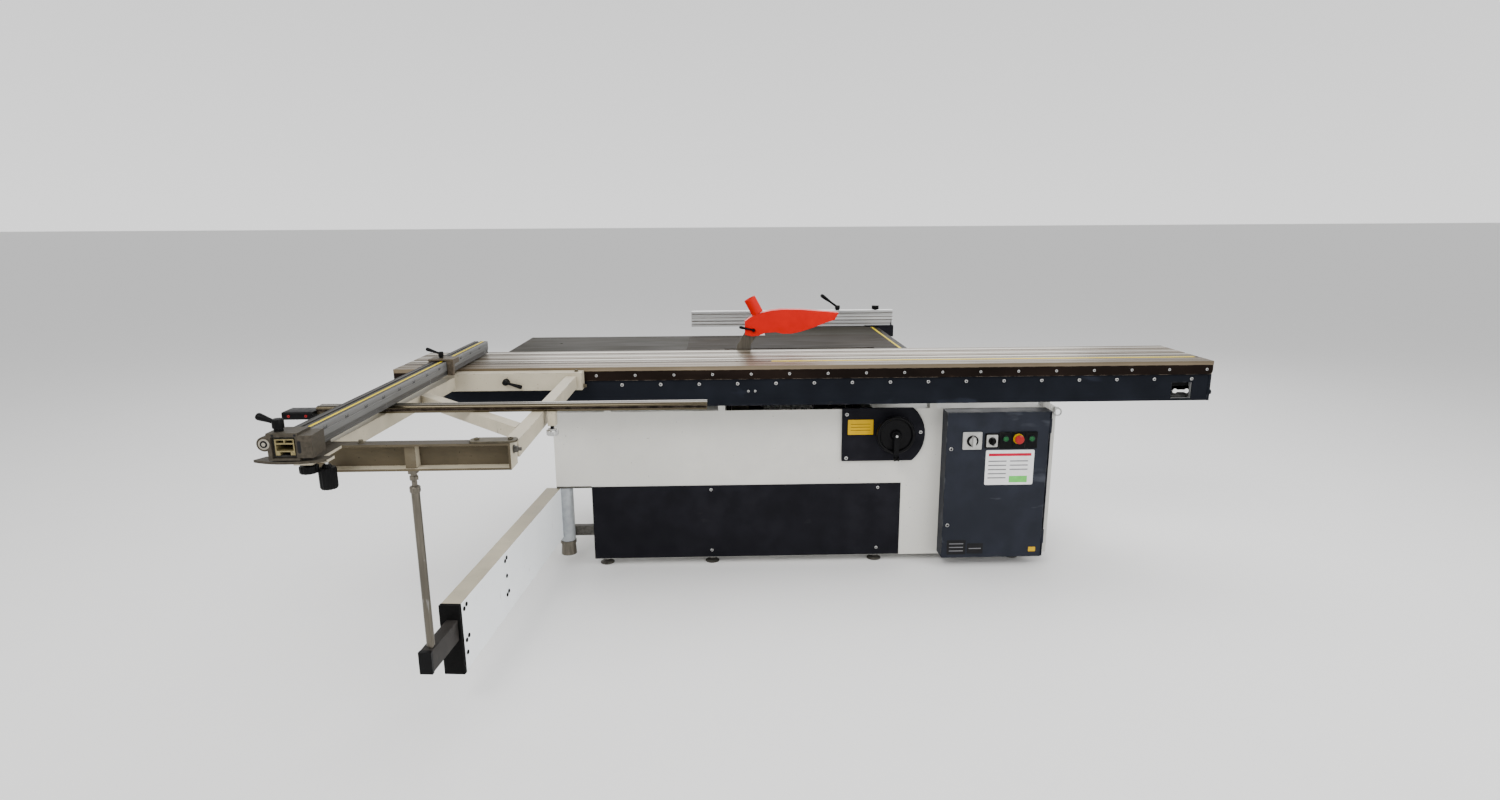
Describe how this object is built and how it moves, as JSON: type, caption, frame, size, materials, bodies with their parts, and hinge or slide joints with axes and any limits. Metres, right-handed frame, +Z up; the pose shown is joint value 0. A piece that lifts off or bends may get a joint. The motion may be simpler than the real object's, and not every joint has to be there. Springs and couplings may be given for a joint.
{
  "type": "sliding table panel saw",
  "caption": "Free-standing sliding table panel saw with a long rolling carriage, outrigger frame and crosscut fence, rip fence, tilting blade unit and switch cabinet.",
  "frame": {"origin": "centre of the bounding box in plan, on the floor", "axes": "+X along the sliding table towards the switch cabinet, +Y from the operator's side across to the rip fence, +Z up"},
  "size_m": [3.28, 2.444, 1.1335],
  "materials": {
    "machine_enamel": "satin",
    "dark_panel": "satin",
    "screw_steel": "satin",
    "foot_black": "matte",
    "cabinet_enamel": "satin",
    "switch_grey": "satin",
    "control_black": "satin",
    "button_green": "gloss",
    "switch_red": "gloss",
    "handwheel_plate": "satin",
    "wheel_black": "satin",
    "grip_black": "matte",
    "table_iron": "ground",
    "insert_aluminium": "brushed",
    "table_sheet": "satin",
    "rail_steel": "brushed",
    "fence_anodised": "anodised",
    "carrier_black": "satin",
    "beam_aluminium": "anodised",
    "beam_paint": "satin",
    "latch_white": "satin",
    "roller_steel": "ground",
    "carriage_aluminium": "anodised",
    "strip_paint": "satin",
    "frame_cream": "satin",
    "bar_aluminium": "anodised",
    "leg_steel": "satin",
    "inner_aluminium": "anodised",
    "casting_aluminium": "cast",
    "post_steel": "satin",
    "cap_black": "matte",
    "arm_dark": "satin",
    "cradle_iron": "cast",
    "blade_steel": "ground",
    "guard_orange": "satin",
    "tape_yellow": "satin"
  },
  "bodies": {
    "machine": {"chassis_body": "machine_enamel", "lower_cover": "dark_panel", "cover_screws": "screw_steel", "levelling_feet": "foot_black", "cabinet_box": "cabinet_enamel", "handwheel_cover": "handwheel_plate", "main_table": "table_iron", "table_insert": "insert_aluminium", "outfeed_table": "table_sheet", "side_table": "table_sheet", "fence_rail": "rail_steel", "slide_beam": "beam_aluminium", "beam_cover": "beam_paint", "arm_post": "post_steel"},
    "cabinet_lid": {"cabinet_door": "cabinet_enamel", "door_fittings": "switch_grey", "button_panel": "control_black"},
    "main_switch": {"main_switch_knob": "switch_grey"},
    "selector": {"selector_knob": "control_black"},
    "start_key": {"start_button": "button_green"},
    "run_key": {"run_button": "button_green"},
    "stop_key": {"stop_button": "switch_red"},
    "height_wheel": {"handwheel": "wheel_black"},
    "wheel_grip": {"crank_grip": "grip_black"},
    "carriage": {"sliding_table": "carriage_aluminium", "carriage_cover": "strip_paint", "carriage_screws": "screw_steel", "frame_inner_beam": "frame_cream", "frame_outer_channel": "frame_cream", "frame_tubes": "frame_cream", "wear_plate": "screw_steel", "support_bar": "bar_aluminium", "bar_fittings": "grip_black", "support_leg": "leg_steel"},
    "roller_set": {"roller_carriage": "roller_steel"},
    "support_arm": {"arm_tube": "machine_enamel", "arm_end_cap": "cap_black"},
    "arm_slide": {"arm_extension": "arm_dark"},
    "crosscut_fence": {"mitre_fence": "fence_anodised", "end_casting": "casting_aluminium"},
    "crosscut_extension": {"fence_extension": "inner_aluminium"},
    "casting_clamp": {"casting_lever": "grip_black"},
    "length_stop": {"fence_stop": "casting_aluminium"},
    "length_stop_clamp": {"stop_lever": "grip_black"},
    "frame_clamp": {"frame_lever": "grip_black"},
    "small_knob": {"knob_one": "grip_black"},
    "large_knob": {"knob_two": "grip_black"},
    "rip_unit": {"rip_fence": "fence_anodised", "fence_carrier": "carrier_black"},
    "rip_clamp": {"fence_lever": "grip_black"},
    "rip_adjuster": {"fence_knob": "grip_black"},
    "carriage_latch": {"slide_latch": "latch_white"},
    "tilt_unit": {"tilt_cradle": "cradle_iron"},
    "rise_unit": {"rise_block": "cradle_iron", "riving_knife": "blade_steel"},
    "blade": {"saw_blade": "blade_steel"},
    "motor_drive": {"motor_pulley": "roller_steel"},
    "scoring": {"scoring_blade": "blade_steel"},
    "guard": {"blade_guard": "guard_orange"},
    "guard_clamp": {"guard_lever": "grip_black"}
  },
  "joints": [
    {"name": "carriage_slide", "type": "slide", "parent": "machine", "child": "carriage", "axis": [1, 0, 0], "range_m": [-1.3, 1.3]},
    {"name": "roller_slide", "type": "slide", "parent": "machine", "child": "roller_set", "axis": [1, 0, 0], "range_m": [-0.65, 0.65]},
    {"name": "arm_swing", "type": "hinge", "parent": "machine", "child": "support_arm", "pos_m": [-0.985, 0.204, 0.2], "axis": [0, 0, 1], "range_deg": [-47, 47]},
    {"name": "arm_extend", "type": "slide", "parent": "support_arm", "child": "arm_slide", "axis": [-0.0767, -0.9971, 0], "range_m": [0, 0.69]},
    {"name": "fence_swivel", "type": "hinge", "parent": "carriage", "child": "crosscut_fence", "pos_m": [-1.338, -1.038, 0.905], "axis": [0, 0, 1], "range_deg": [-47, 47]},
    {"name": "fence_extend", "type": "slide", "parent": "crosscut_fence", "child": "crosscut_extension", "axis": [0, -1, 0], "range_m": [0, 0.8]},
    {"name": "casting_clamp_turn", "type": "hinge", "parent": "crosscut_fence", "child": "casting_clamp", "pos_m": [-1.356, -1.198, 0.9665], "axis": [0, 0, 1], "range_deg": [-60, 60]},
    {"name": "stop_slide", "type": "slide", "parent": "crosscut_fence", "child": "length_stop", "axis": [0, 1, 0], "range_m": [-0.93, 0.43]},
    {"name": "stop_clamp_turn", "type": "hinge", "parent": "length_stop", "child": "length_stop_clamp", "pos_m": [-1.338, -0.138, 0.9653], "axis": [0, 0, 1], "range_deg": [-60, 60]},
    {"name": "frame_clamp_turn", "type": "hinge", "parent": "carriage", "child": "frame_clamp", "pos_m": [-1.128, -0.0765, 0.857], "axis": [0, 1, 0], "range_deg": [-45, 60]},
    {"name": "small_knob_turn", "type": "hinge", "parent": "carriage", "child": "small_knob", "pos_m": [-1.303, -1.186, 0.866], "axis": [0, 0, 1], "continuous": true},
    {"name": "large_knob_turn", "type": "hinge", "parent": "carriage", "child": "large_knob", "pos_m": [-1.269, -1.168, 0.834], "axis": [0, 0, 1], "continuous": true},
    {"name": "rip_slide", "type": "slide", "parent": "machine", "child": "rip_unit", "axis": [0, 1, 0], "range_m": [-0.69, 0.01]},
    {"name": "rip_clamp_turn", "type": "hinge", "parent": "rip_unit", "child": "rip_clamp", "pos_m": [0.294, 1.165, 0.9865], "axis": [0, 0, 1], "range_deg": [-70, 70]},
    {"name": "rip_adjuster_turn", "type": "hinge", "parent": "rip_unit", "child": "rip_adjuster", "pos_m": [0.495, 1.165, 0.9865], "axis": [0, 0, 1], "continuous": true},
    {"name": "latch_turn", "type": "hinge", "parent": "machine", "child": "carriage_latch", "pos_m": [1.53, 0, 0.781], "axis": [0, 1, 0], "range_deg": [0, 80]},
    {"name": "cabinet_hinge", "type": "hinge", "parent": "machine", "child": "cabinet_lid", "pos_m": [1.0365, 0.0865, 0.36], "axis": [0, 0, 1], "range_deg": [0, 110]},
    {"name": "main_switch_turn", "type": "hinge", "parent": "cabinet_lid", "child": "main_switch", "pos_m": [0.7135, 0.085, 0.561], "axis": [0, 1, 0], "range_deg": [0, 90]},
    {"name": "selector_turn", "type": "hinge", "parent": "cabinet_lid", "child": "selector", "pos_m": [0.795, 0.079, 0.56], "axis": [0, 1, 0], "range_deg": [-45, 45]},
    {"name": "start_press", "type": "slide", "parent": "cabinet_lid", "child": "start_key", "axis": [0, 1, 0], "range_m": [0, 0.004], "stiffness_N_per_m": 600},
    {"name": "run_press", "type": "slide", "parent": "cabinet_lid", "child": "run_key", "axis": [0, 1, 0], "range_m": [0, 0.004], "stiffness_N_per_m": 600},
    {"name": "stop_press", "type": "slide", "parent": "cabinet_lid", "child": "stop_key", "axis": [0, 1, 0], "range_m": [0, 0.006], "stiffness_N_per_m": 800},
    {"name": "height_wheel_turn", "type": "hinge", "parent": "machine", "child": "height_wheel", "pos_m": [0.402, 0.126, 0.583], "axis": [0, 1, 0], "range_deg": [-5, 1445]},
    {"name": "grip_fold", "type": "hinge", "parent": "height_wheel", "child": "wheel_grip", "pos_m": [0.402, 0.093, 0.488], "axis": [1, 0, 0], "range_deg": [0, 90]},
    {"name": "blade_tilt", "type": "hinge", "parent": "machine", "child": "tilt_unit", "pos_m": [-0.022, 0.414, 0.9], "axis": [-1, 0, 0], "range_deg": [0, 45]},
    {"name": "blade_rise", "type": "slide", "parent": "tilt_unit", "child": "rise_unit", "axis": [0, 0, 1], "range_m": [0, 0.1]},
    {"name": "blade_spin", "type": "hinge", "parent": "rise_unit", "child": "blade", "pos_m": [-0.022, 0.414, 0.739], "axis": [0, 1, 0], "continuous": true},
    {"name": "motor_spin", "type": "hinge", "parent": "rise_unit", "child": "motor_drive", "pos_m": [0.148, 0.552, 0.645], "axis": [0, 1, 0], "continuous": true},
    {"name": "scoring_spin", "type": "hinge", "parent": "tilt_unit", "child": "scoring", "pos_m": [0.198, 0.414, 0.825], "axis": [0, 1, 0], "continuous": true},
    {"name": "guard_lift", "type": "hinge", "parent": "rise_unit", "child": "guard", "pos_m": [-0.177, 0.414, 0.988], "axis": [0, 1, 0], "range_deg": [-25, 0]},
    {"name": "guard_clamp_turn", "type": "hinge", "parent": "guard", "child": "guard_clamp", "pos_m": [-0.177, 0.382, 0.988], "axis": [0, 1, 0], "range_deg": [-20, 40]}
  ],
  "couplings": [
    {"joint": "roller_slide", "follows": "carriage_slide", "ratio": 0.5},
    {"joint": "arm_swing", "follows": "carriage_slide", "rad_per_m": 0.62},
    {"joint": "height_wheel_turn", "follows": "blade_rise", "rad_per_m": 251.33},
    {"joint": "motor_spin", "follows": "blade_spin", "ratio": 0.6}
  ]
}
